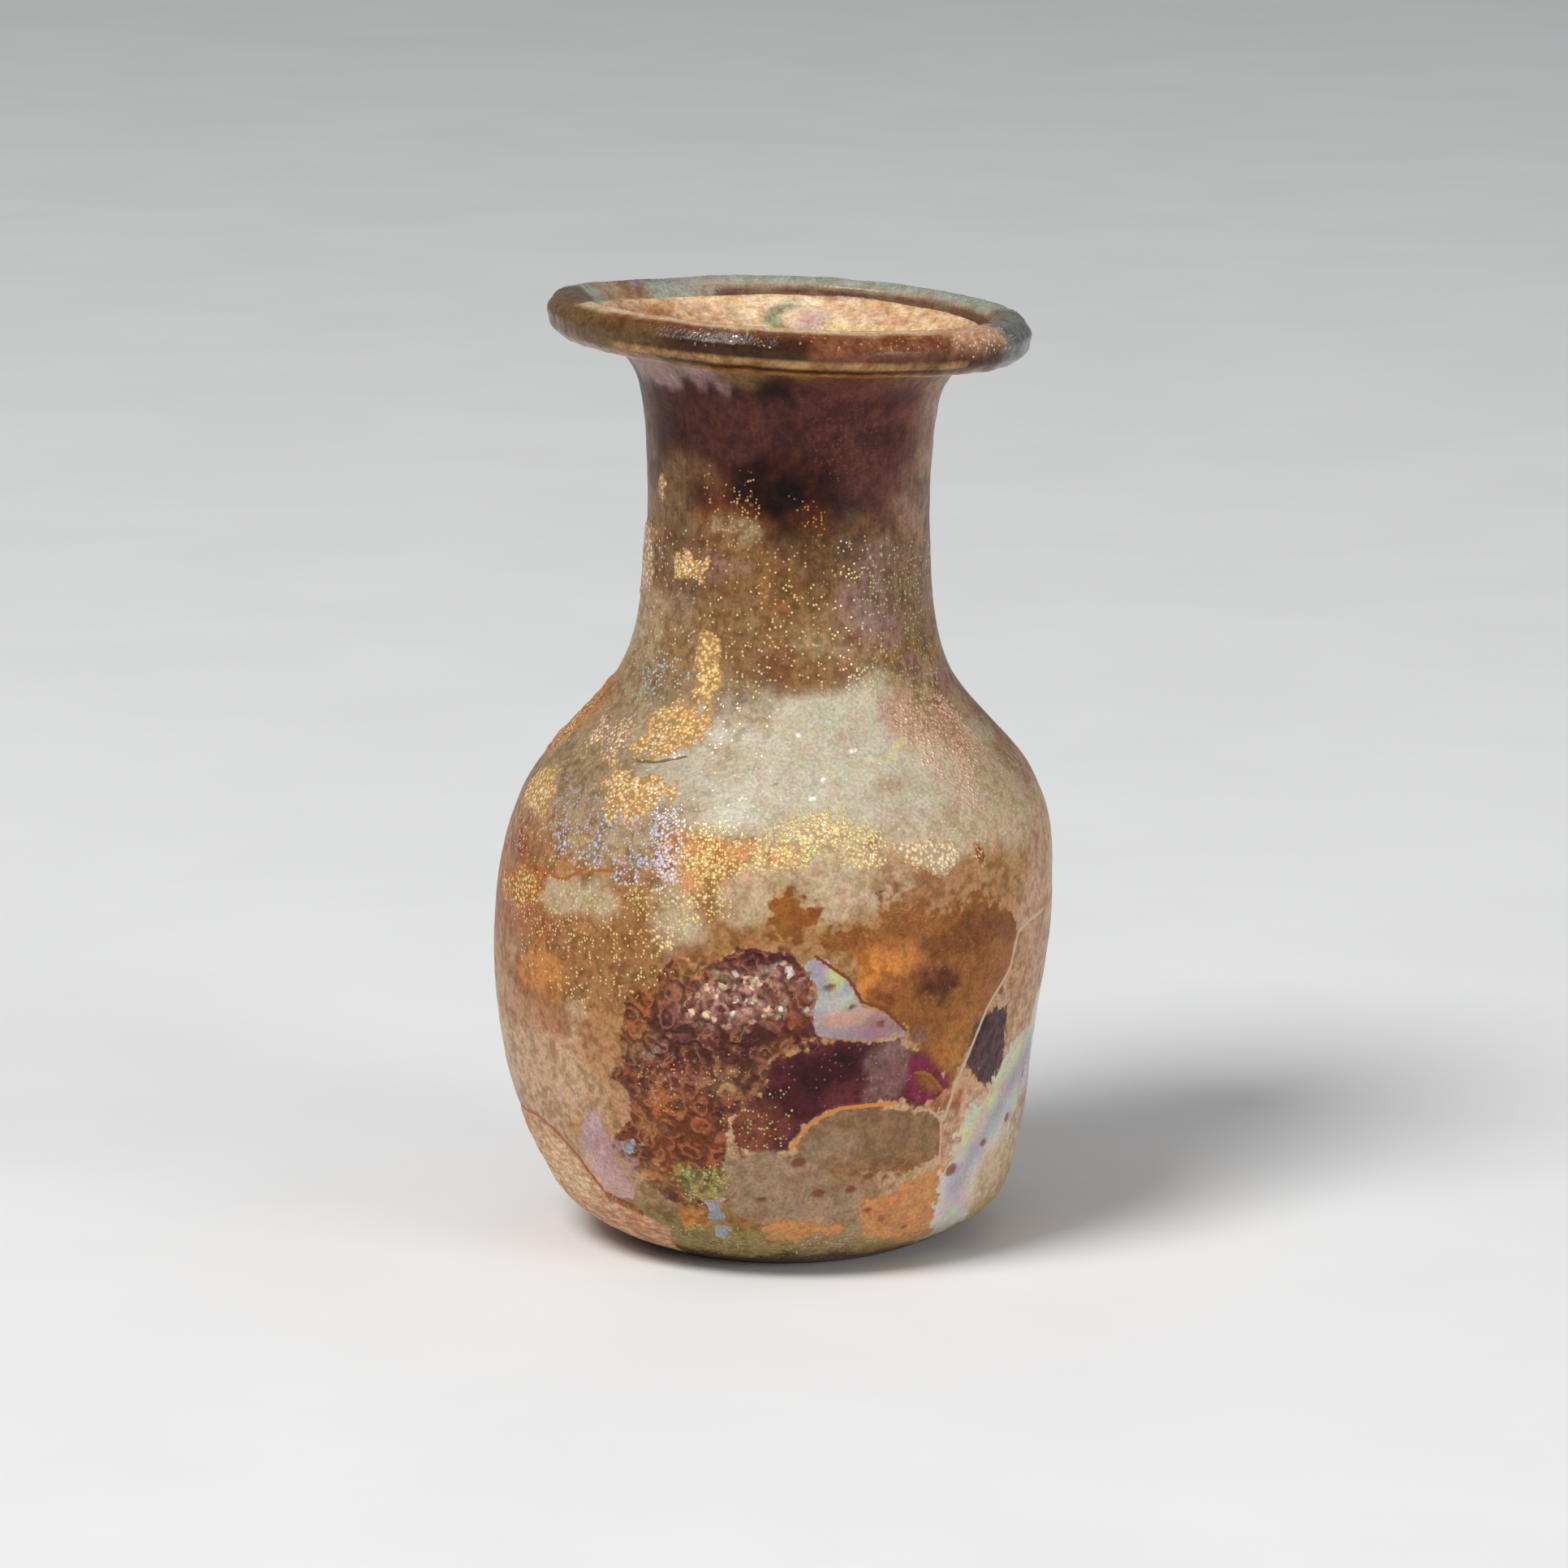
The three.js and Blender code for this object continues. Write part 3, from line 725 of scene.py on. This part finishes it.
LIP_WASHES = [
    # azimuth, half width in degrees, lowest and highest turn of the roll, colour, share, blur
    (0, 181, -120, 200, "lip_dark", 1.0, 0.5), (-80, 48, -120, 200, "lip_olive", 1.0, 2.0),
    (-95, 60, -120, -30, "olive_tan", 0.8, 0.8), (30, 24, -10, 90, "lip_copper", 0.9, 1.2),
    # The thin orange-gold band from turn -34 to -20 of the roll, on the lip's front, is a painted
    # highlight along a ridge
    (0, 70, -120, -62, "amber", 0.8, 0.4), (0, 46, -34, -20, "orange_gold", 0.6, 0.2),
    (10, 75, 64, 200, "cream", 0.85, 0.4), (10, 60, 44, 64, "deep_rust", 0.7, 0.4),
    (54, 12, 10, 200, "peach", 0.85, 0.8),
    (84, 22, -120, 200, "lip_blue", 0.9, 1.5), (96, 20, 100, 200, "honey", 0.6, 0.6),
    (180, 78, -120, 200, "lip_aqua", 1.0, 2.0), (-122, 12, 20, 200, "peach", 0.85, 0.8),
    (-128, 5, 60, 160, "rust", 0.8, 0.5), (-140, 10, 20, 130, "lavender", 0.8, 0.8),
    (-155, 8, 40, 150, "mauve", 0.35, 0.8), (150, 60, 132, 152, "peach", 0.8, 0.3),
    # The deep rust line in the fold at the back of the lip is painted shade in the crack
    (150, 52, 148, 190, "deep_rust", 0.95, 0.2),
]
for order, (az, half_wide, low, high, name, share, blur) in enumerate(LIP_WASHES):
    glass.tone(ragged(lip_arc(az, half_wide, low, high), 0.6 * blur, 2.0, 800 + order), name, share,
        blur)
# Glints painted as bright specks on the lip
LIP_GLINTS = [(24, 34, 30, 90, "orange", 0.18), (-18, 6, 20, 90, "copper_pink", 0.16),
    (56, 12, 0, 120, "white", 0.2),
              (-160, 50, 20, 130, "leaf_green", 0.12), (-70, 50, -40, 120, "peach", 0.03)]
for az, half_wide, low, high, name, share in LIP_GLINTS:
    shape = ragged(lip_arc(az, half_wide, low, high), 0.6, 2, 84)
    glints.paint(name, smoothstep(-0.6, 0.3, shape))
    glint_density = np.maximum(glint_density, share * smoothstep(-0.6, 0.3, shape))

in_funnel = section == MOUTH
on_lip = section == LIP
for part_of_mouth, name in ((in_funnel, "cream"), (section == INSIDE, "brown")):
    glass.paint(name, part_of_mouth.astype(float))
MOUTH_WASHES = [
    (-112, 74.5, 6, 3, "pink_brown", 0.9), (-128, 75.6, 3, 0.7, "rust", 0.7),
    (180, 75, 8, 1.6, "ivory", 0.9),
    (90, 74, 8, 3, "amber", 0.7), (150, 73.8, 3, 0.8, "gold", 0.8), (0, 73, 14, 3, "deep_rust", 0.6),
    (172, 74.8, 2.2, 0.8, "mauve", 0.7), (-150, 75.4, 3, 0.9, "peach", 0.8),
    (-138, 73.6, 4, 1.2, "brown", 0.6),
    (150, 75.6, 6, 0.5, "peach", 0.8), (0, 66, 60, 6, "brown", 0.8),
]
for order, (az, level, wide, tall, name, share) in enumerate(MOUTH_WASHES):
    glass.tone(ragged(blob(az, level, wide, tall, MOUTH), 0.5, 2, 820 + order), name, share, 0.8)
ring_across = np.radians(turned_by(173)) * radius
crescent = np.abs(np.hypot(ring_across / 3.2, (height - 74.9) / 1.25) - 1)
crescent_side = smoothstep(-1.2, 0.8, ring_across - 1.2 * (height - 74.9))
glass.tone(np.where(in_funnel, 0.22 - crescent, FAR), "crescent", 0.95 * crescent_side, 0.15)
# Glints painted as bright specks over the gold patch inside the mouth
gold_glint = blob(152, 73.9, 4, 0.9, MOUTH)
glints.paint("spark_gold", smoothstep(-0.5, 0.2, gold_glint))
glint_density = np.maximum(glint_density, 0.5 * smoothstep(-0.5, 0.2, gold_glint))

# Relief in millimetres, pushed out along the skin
WAVES, GRAIN = 0.10, 0.035
FLAKE_HEIGHT = 0.17
CRUST_HEIGHT, CURL_HEIGHT = 0.10, 0.14
FOOT_SKIN = 0.10
PANEL_DEPTH = 0.10
CRACK_DEPTH = 0.10
PIT_DEPTH = 0.28
FOLD_DEPTH = 0.45
MOUTH_WAVES = 0.12
free = smoothstep(0.6, 2.5, height)
relief = WAVES * noise(9, 91) + GRAIN * noise(1.6, 92)
relief += FLAKE_HEIGHT * smoothstep(-0.25, 0.2, flake.inside) * (1 + 0.5 * noise(0.9, 93, 2))
crust = smoothstep(-0.4, 0.3, wine_field) * (1 - smoothstep(-0.2, 0.2, purple_field))
crust = np.maximum(crust, np.where(outer, 0.6 * smoothstep(-0.2, 0.4, back_stain), 0))
relief += crust * (CRUST_HEIGHT + CURL_HEIGHT * (1 - 2 * np.abs(noise(2.2, 94))))
relief += FOOT_SKIN * smoothstep(-0.3, 0.2, cream_foot) * (1 + noise(1.2, 95, stretch=(1, 1, 0.5)))
relief -= PANEL_DEPTH * smoothstep(-0.2, 0.3, np.maximum(panel_brown, panel_pale))
relief -= CRACK_DEPTH * line_share * (1 - smoothstep(0.8, 2.6, np.abs(line_offset)))
relief -= PIT_DEPTH * smoothstep(-0.35, 0.25, pit)
relief = np.where(outer, relief * free, 0)
ridge_turn = around_roll + 6 * noise(14, 96)
lip_waves = 0.06 * np.sin(np.radians(ridge_turn) * 8) + 0.07 * noise(3, 97) + 0.04 * noise(0.9, 98)
fold_crack = smoothstep(-0.3, 0.2, ragged(lip_arc(150, 56, 150, 185), 0.15, 1.5, 100))
relief = np.where(on_lip, lip_waves - FOLD_DEPTH * fold_crack, relief)
relief = np.where(in_funnel, MOUTH_WAVES * noise(2.5, 99), relief)
grid_normal = surface_normals(grid_place).reshape(-1, 3)
skin_place = place + grid_normal * relief[:, None]

# Shares used by the shader
clear_lip = 0.10 + 0.45 * smoothstep(-1, 2, np.maximum(lip_arc(84, 22), lip_arc(180, 78)))
clear_wall = 0.2 * smoothstep(36, 40, height) * (1 - smoothstep(46, 52, height))
clearness = np.where(on_lip, clear_lip, np.where(outer, clear_wall, 0))
cream_share = np.where(outer, smoothstep(-0.4, 0.4, cream_foot), 0) + np.where(in_funnel, 0.7, 0)
streaks = np.where(outer, 0.6 * smoothstep(48, 56, height), 0)
mosaic = smoothstep(-1.0, 0.8, ragged(blob(-5, 25.2, 4.6, 2.4), 1.0, 2, 85))
mosaic = np.maximum(mosaic, 0.15 * smoothstep(-0.8, 0.6, ragged(blob(-27, 19, 3, 3), 0.9, 2, 86)))
glossy = np.maximum.reduce([purple_field, panel_brown, panel_pale, honey_field, peach_corner])
finish = np.where(outer, 0.36 - 0.2 * smoothstep(-0.3, 0.6, glossy), 0.4)
finish = np.where(on_lip, 0.24, finish)


def build_skin():
    """The closed mesh of the whole vase, with its coats of weathering as point attributes."""
    rings = len(ring_radius)
    points = skin_place.copy()
    points[:, 0] -= centre_shift
    low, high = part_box(NODE)
    points *= (high.z - low.z) / (grid_place[..., 2].max() - grid_place[..., 2].min())
    index = np.arange(rings * AROUND).reshape(rings, AROUND)
    inner = index[1:-1]
    here, beside = inner, np.roll(inner, -1, 1)
    quads = np.stack([here[:-1], beside[:-1], beside[1:], here[1:]], -1).reshape(-1, 4)
    bottom, top = index[0, 0], index[-1, 0]
    first, last = inner[0], inner[-1]
    start_fan = np.stack([np.full(AROUND, bottom), np.roll(first, -1), first], -1)
    end_fan = np.stack([np.full(AROUND, top), last, np.roll(last, -1)], -1)
    used = np.concatenate([[bottom], inner.ravel(), [top]])
    renumber = np.full(rings * AROUND, -1)
    renumber[used] = np.arange(len(used))
    faces = renumber[quads].tolist() + renumber[start_fan].tolist() + renumber[end_fan].tolist()
    mesh = bpy.data.meshes.new("vase_skin")
    mesh.from_pydata(points[used].tolist(), [], faces)
    mesh.polygons.foreach_set("use_smooth", [True] * len(mesh.polygons))
    add_colours(mesh, "glass", glass.tint, clearness, used)
    add_colours(mesh, "glass_fleck", glass.fleck, finish, used)
    add_colours(mesh, "stain", stain.tint, stain.inside, used)
    add_colours(mesh, "stain_fleck", stain.fleck, crust, used)
    add_colours(mesh, "pearl_and_highlights", pearl_and_highlights.tint, pearl_and_highlights.inside, used)
    add_colours(mesh, "flake", flake.tint, flake.inside, used)
    add_colours(mesh, "glints", glints.tint, glint_density, used)
    add_colours(mesh, "line", line.tint, line_offset, used)
    add_colours(mesh, "line_share", np.repeat(line_share[:, None], 3, 1), line_share, used)
    add_colours(mesh, "marks", np.stack([cream_share, streaks, mosaic], 1), pit, used)
    unwrap(mesh)
    mesh.update()
    return mesh


def add_colours(mesh, name, tint, extra, used):
    """A colour attribute whose fourth channel holds another field, such as the distance inside an edge."""
    layer = mesh.attributes.new(name, "FLOAT_COLOR", "POINT")
    values = np.column_stack([tint, np.clip(extra, -3, 3)])[used]
    layer.data.foreach_set("color", values.astype(np.float32).ravel())


def unwrap(mesh):
    """Lays the skin flat, around the vase and along its profile, with less room for the inside."""
    room = np.where((ring_section == OUTSIDE) | (ring_section == LIP), 1.0, 0.35)
    steps = np.hypot(np.diff(ring_radius), np.diff(ring_z)) * room[1:]
    along = np.concatenate([[0], np.cumsum(steps)]) / steps.sum()
    left = (np.degrees(turn_angle) + 180) % 360 / 360
    wide = 1 / AROUND
    lower = np.repeat(along[1:-2, None], AROUND, 1)
    upper = np.repeat(along[2:-1, None], AROUND, 1)
    sides = np.broadcast_to(left, lower.shape)
    quad = np.stack([sides, lower, sides + wide, lower, sides + wide, upper, sides, upper], -1)
    start, first = np.full(AROUND, along[0]), np.full(AROUND, along[1])
    end, last = np.full(AROUND, along[-1]), np.full(AROUND, along[-2])
    start_fan = np.stack([left + wide / 2, start, left + wide, first, left, first], -1)
    end_fan = np.stack([left + wide / 2, end, left, last, left + wide, last], -1)
    layer = mesh.uv_layers.new(name="OFBake")
    flat = np.concatenate([quad.ravel(), start_fan.ravel(), end_fan.ravel()])
    layer.data.foreach_set("uv", flat.astype(np.float32))


class Nodes:
    """Short ways to add shader nodes to one material."""

    def __init__(self, name):
        self.material = bpy.data.materials.new(name)
        self.material.use_nodes = True
        self.tree = self.material.node_tree
        self.shader = self.tree.nodes["Principled BSDF"]

    def put(self, value, socket):
        if isinstance(value, bpy.types.NodeSocket):
            self.tree.links.new(value, socket)
        else:
            socket.default_value = value

    def math(self, operation, *values, clamp=False):
        node = self.tree.nodes.new("ShaderNodeMath")
        node.operation = operation
        node.use_clamp = clamp
        for socket, value in zip(node.inputs, values):
            self.put(value, socket)
        return node.outputs[0]

    def times(self, *values):
        product = values[0]
        for value in values[1:]:
            product = self.math("MULTIPLY", product, value)
        return product

    def ramp(self, value, low, high, start=0.0, end=1.0):
        node = self.tree.nodes.new("ShaderNodeMapRange")
        node.interpolation_type = "SMOOTHSTEP"
        for socket, given in zip(node.inputs, (value, low, high, start, end)):
            self.put(given, socket)
        return node.outputs[0]

    def mix(self, share, first, second, blend="MIX"):
        node = self.tree.nodes.new("ShaderNodeMix")
        node.data_type = "RGBA"
        node.blend_type = blend
        self.put(share, node.inputs[0])
        self.put(first, node.inputs[6])
        self.put(second, node.inputs[7])
        return node.outputs[2]

    def shade(self, share, base, amount):
        """The base multiplied by a factor, by a share: a lighter or darker tone of the colour itself, and
        painted light and shade on the flake grains.
        """
        return self.mix(share, base, amount, "MULTIPLY")

    def blend(self, share, first, second):
        node = self.tree.nodes.new("ShaderNodeMix")
        self.put(share, node.inputs[0])
        self.put(first, node.inputs[2])
        self.put(second, node.inputs[3])
        return node.outputs[0]

    def field(self, name):
        node = self.tree.nodes.new("ShaderNodeAttribute")
        node.attribute_name = name
        return node.outputs["Color"], node.outputs["Alpha"]

    def split(self, value):
        node = self.tree.nodes.new("ShaderNodeSeparateColor")
        self.put(value, node.inputs[0])
        return node.outputs

    def millimetres(self, stretch=(1, 1, 1)):
        coordinates = self.tree.nodes.new("ShaderNodeTexCoord")
        node = self.tree.nodes.new("ShaderNodeMapping")
        node.inputs["Scale"].default_value = [1000 / s for s in stretch]
        self.put(coordinates.outputs["Object"], node.inputs["Vector"])
        return node.outputs[0]

    def noise(self, where, size, detail=2.0, distortion=0.0):
        node = self.tree.nodes.new("ShaderNodeTexNoise")
        self.put(where, node.inputs["Vector"])
        node.inputs["Scale"].default_value = 1 / size
        node.inputs["Detail"].default_value = detail
        node.inputs["Distortion"].default_value = distortion
        return node.outputs

    def cloud(self, where, size, detail=2.0, distortion=0.0):
        return self.noise(where, size, detail, distortion)["Fac"]

    def shaken(self, where, size, amount):
        """The place moved about by noise, so that patterns laid on it wander."""
        centred = self.tree.nodes.new("ShaderNodeVectorMath")
        centred.operation = "SUBTRACT"
        self.put(self.noise(where, size)["Color"], centred.inputs[0])
        centred.inputs[1].default_value = (0.5, 0.5, 0.5)
        moved = self.tree.nodes.new("ShaderNodeVectorMath")
        moved.operation = "MULTIPLY_ADD"
        self.put(centred.outputs[0], moved.inputs[0])
        moved.inputs[1].default_value = (amount, amount, amount)
        self.put(where, moved.inputs[2])
        return moved.outputs[0]

    def cells(self, where, size):
        node = self.tree.nodes.new("ShaderNodeTexVoronoi")
        self.put(where, node.inputs["Vector"])
        node.inputs["Scale"].default_value = 1 / size
        return node.outputs

    def palette(self, value, names):
        """A row of equal bands of these colours."""
        node = self.tree.nodes.new("ShaderNodeValToRGB")
        node.color_ramp.interpolation = "CONSTANT"
        stops = node.color_ramp.elements
        while len(stops) < len(names):
            stops.new(0.5)
        for k, name in enumerate(names):
            stops[k].position = k / len(names)
            stops[k].color = [*colour(name), 1]
        self.put(value, node.inputs[0])
        return node.outputs[0]

    def bump(self, level):
        node = self.tree.nodes.new("ShaderNodeBump")
        self.put(level, node.inputs["Height"])
        node.inputs["Distance"].default_value = MM
        node.inputs["Strength"].default_value = 0.8
        return node.outputs[0]


def weathered_glass():
    """The glass with its stains, pearl skins, gold flakes, cracks and pits, and the glints, highlights and
    shade painted into its colour.
    """
    n = Nodes("weathered_glass")
    where = n.millimetres()
    broad = n.cloud(where, 3.0, 4)
    grain = n.cloud(where, 0.8, 3)
    fine = n.cloud(where, 0.26, 2)
    edge_shake = n.times(n.math("SUBTRACT", grain, 0.5), 1.5)

    def edge(inside, width=0.1):
        return n.ramp(n.math("ADD", inside, edge_shake), -width, width)

    glass_tint, clear = n.field("glass")
    glass_fleck, finish_here = n.field("glass_fleck")
    stain_tint, stain_in = n.field("stain")
    stain_fleck, crust_here = n.field("stain_fleck")
    pearl_and_highlight_tint, pearl_and_highlight_inside = n.field("pearl_and_highlights")
    flake_tint, flake_in = n.field("flake")
    glint_tint, glint_density_here = n.field("glints")
    line_tint, line_side = n.field("line")
    line_here = n.field("line_share")[1]
    marks, pit_in = n.field("marks")
    cream_here, streak_here, mosaic_here = n.split(marks)[:3]

    stained, pearl_and_highlight_cover, flaked = edge(stain_in), edge(pearl_and_highlight_inside), edge(flake_in)
    lined = n.times(n.ramp(n.math("ABSOLUTE", line_side), 0.7, 1.4, 1.0, 0.0),
        n.ramp(line_here, 0.3, 0.7))
    pitted = n.ramp(pit_in, -0.1, 0.15)

    # Glass and stains with their flecks
    fleck_share = n.times(n.ramp(n.blend(0.65, broad, grain), 0.42, 0.62), 0.85)
    base = n.mix(stained, n.mix(fleck_share, glass_tint, glass_fleck),
        n.mix(fleck_share, stain_tint, stain_fleck))
    base = n.shade(1.0, base, n.ramp(fine, 0.28, 0.72, 0.82, 1.18))
    base = n.mix(0.16, base, n.noise(where, 1.3, 2)["Color"], "OVERLAY")
    streak = n.ramp(n.cloud(n.millimetres((1, 1, 7)), 0.35, 3), 0.3, 0.7, 0.78, 1.2)
    base = n.shade(streak_here, base, streak)

    # Crust: wandering contour bands with thin pale rims, and pearly cells
    contours = n.cells(n.shaken(where, 1.3, 1.8), 2.2)["Distance"]
    bands = n.math("SINE", n.math("ADD", n.times(contours, 16.0), n.times(broad, 16.0)))
    base = n.shade(crust_here, base, n.ramp(bands, -0.9, 0.7, 0.58, 1.2))
    rims = n.times(n.ramp(bands, 0.72, 0.97), n.ramp(grain, 0.4, 0.58), crust_here)
    base = n.mix(n.times(rims, 0.5), base, [*colour("warm_tan"), 1])
    scales = n.cells(n.shaken(where, 0.9, 1.0), 0.62)
    scale_tint = n.palette(n.split(scales["Color"])[0],
        ["white", "wine", "copper_pink", "mauve", "wine_dark",
                                                        "pearl_green", "pearl_pink", "wine"])
    scaled = n.times(mosaic_here, n.ramp(scales["Distance"], 0.3, 0.65, 0.95, 0.15),
        n.ramp(grain, 0.36, 0.52))
    base = n.mix(scaled, base, scale_tint)
    threads = n.ramp(n.cloud(n.millimetres((2.2, 2.2, 0.7)), 0.5, 4, 0.5), 0.32, 0.68, 0.70, 1.2)
    base = n.shade(cream_here, base, threads)

    # Skins over it: pearl with painted bubble highlights, gold flakes with painted light and shade on
    # their grains, and the lines
    base = n.mix(pearl_and_highlight_cover, base, n.mix(0.4, n.shade(1.0, pearl_and_highlight_tint, n.ramp(fine, 0.2, 0.8, 0.84, 1.1)),
                               n.noise(where, 1.6, 2)["Color"], "OVERLAY"))
    grains = n.cells(n.shaken(where, 0.5, 0.25), 0.42)
    dust = n.cells(where, 0.22)
    # Flake grains painted lighter in their middles and darker in the gaps: painted highlight and painted
    # shade of the domed grains
    base = n.mix(flaked, base, n.shade(1.0, flake_tint,
        n.ramp(grains["Distance"], 0.15, 0.66, 1.3, 0.5)))
    base = n.mix(lined, base, line_tint)

    # Painted glints: bright specks of the grains and dust painted into the colour as highlights
    clumped = n.times(glint_density_here, n.ramp(broad, 0.36, 0.62, 0.45, 1.3))
    grain_lot, dust_lot = n.split(grains["Color"]), n.split(dust["Color"])
    big = n.times(n.ramp(n.math("ADD", grain_lot[0], n.times(clumped, 0.8)), 0.95, 1.0),
                  n.ramp(grains["Distance"], 0.24, 0.56, 1.0, 0.0), n.ramp(clumped, 0.2, 0.5))
    small = n.times(n.ramp(n.math("ADD", dust_lot[0], n.times(clumped, 0.8)), 0.95, 1.0),
                    n.ramp(dust["Distance"], 0.25, 0.6, 1.0, 0.0))
    painted_glint = n.times(n.math("MAXIMUM", big, n.times(small, 0.8)), n.ramp(glint_density_here, 0.02, 0.08))
    glint = n.mix(0.12, glint_tint, dust["Color"], "OVERLAY")
    base = n.mix(painted_glint, base, glint)
    base = n.mix(n.times(pitted, 0.85), base, [*colour("deep_rust"), 1])

    rough = n.blend(crust_here, finish_here, 0.42)
    rough = n.blend(cream_here, rough, 0.62)
    rough = n.blend(pearl_and_highlight_cover, rough, 0.15)
    rough = n.blend(flaked, rough, 0.34)
    rough = n.blend(painted_glint, rough, 0.14)
    rough = n.math("ADD", rough, n.times(n.math("SUBTRACT", grain, 0.5), 0.25))

    covered = n.math("MAXIMUM", n.math("MAXIMUM", flaked, crust_here),
        n.math("MAXIMUM", cream_here, pearl_and_highlight_cover))
    see_through = n.times(clear, n.math("SUBTRACT", 1.0, covered, clamp=True))

    # Fine relief in millimetres
    level = n.times(n.math("ADD", fine, n.times(grain, 0.8)), 0.05)
    level = n.math("ADD", level, n.times(n.math("SUBTRACT", bands, rims), crust_here, 0.11))
    level = n.math("ADD", level, n.times(n.ramp(scales["Distance"], 0.1, 0.7, 1.0, 0.0), mosaic_here,
        0.12))
    domes = n.times(n.math("MAXIMUM", big, flaked), n.ramp(grains["Distance"], 0.0, 0.7, 1.0, 0.0))
    level = n.math("ADD", level, n.times(domes, 0.2))

    n.put(base, n.shader.inputs["Base Color"])
    n.put(rough, n.shader.inputs["Roughness"])
    n.put(n.times(painted_glint, 0.2), n.shader.inputs["Metallic"])
    n.put(see_through, n.shader.inputs["Transmission Weight"])
    n.put(n.bump(level), n.shader.inputs["Normal"])
    n.shader.inputs["IOR"].default_value = 1.5
    n.shader.inputs["Specular IOR Level"].default_value = 0.15
    return n.material


def floor_material():
    n = Nodes("pale_floor")
    paper = n.ramp(n.cloud(n.millimetres(), 30, 3), 0.3, 0.7, 0.985, 1.015)
    n.put(n.shade(1.0, (0.84, 0.84, 0.84, 1), paper), n.shader.inputs["Base Color"])
    n.shader.inputs["Roughness"].default_value = 0.75
    n.shader.inputs["Specular IOR Level"].default_value = 0.15
    return n.material


def make_floor():
    side = 4.0
    mesh = bpy.data.meshes.new("floor")
    corners = [(-side, -side, 0), (side, -side, 0), (side, side, 0), (-side, side, 0)]
    mesh.from_pydata(corners, [], [(0, 1, 2, 3)])
    mesh.materials.append(floor_material())
    floor = bpy.data.objects.new("floor", mesh)
    bpy.context.scene.collection.objects.link(floor)


def soft_light(name, where, aim, size, power, tint=(1, 1, 1)):
    data = bpy.data.lights.new(name, "AREA")
    data.shape = "DISK"
    data.size = size
    data.energy = power
    data.color = tint
    light = bpy.data.objects.new(name, data)
    light.location = where
    light.rotation_euler = (Vector(aim) - Vector(where)).to_track_quat("-Z", "Y").to_euler()
    bpy.context.scene.collection.objects.link(light)


def make_light():
    world = bpy.data.worlds.new("soft_room")
    world.use_nodes = True
    world.node_tree.nodes["Background"].inputs["Color"].default_value = (0.96, 0.98, 1, 1)
    world.node_tree.nodes["Background"].inputs["Strength"].default_value = 0.22
    bpy.context.scene.world = world
    middle = (0, 0, 0.04)
    soft_light("key", (-0.66, -0.70, 1.30), middle, 0.66, 20.5)
    soft_light("fill", (0.8, -0.6, 0.25), middle, 0.5, 4.0)
    soft_light("overhead", (0.1, -0.1, 1.2), middle, 0.7, 1.2)


def make_camera():
    data = bpy.data.cameras.new("camera")
    data.sensor_fit = "HORIZONTAL"
    data.sensor_width = SENSOR
    data.lens = FOCAL_PIXELS / IMAGE_SIDE * SENSOR
    data.clip_start = 0.01
    camera = bpy.data.objects.new("camera", data)
    aim = Vector((CAMERA_AIM[0] - centre_shift, CAMERA_AIM[1], CAMERA_AIM[2])) * MM
    back = Vector((0, -math.cos(CAMERA_ELEVATION), math.sin(CAMERA_ELEVATION)))
    camera.location = aim + back * CAMERA_DISTANCE * MM
    camera.rotation_euler = (math.pi / 2 - CAMERA_ELEVATION, 0, 0)
    bpy.context.scene.collection.objects.link(camera)
    bpy.context.scene.camera = camera


def make_vase():
    mesh = build_skin()
    mesh.materials.append(weathered_glass())
    vase = bpy.data.objects.new("vase_skin", mesh)
    bpy.context.scene.collection.objects.link(vase)
    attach(vase, "root")
    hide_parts(NODE)


make_vase()
make_floor()
make_light()
make_camera()
bpy.context.scene.view_settings.view_transform = "Standard"
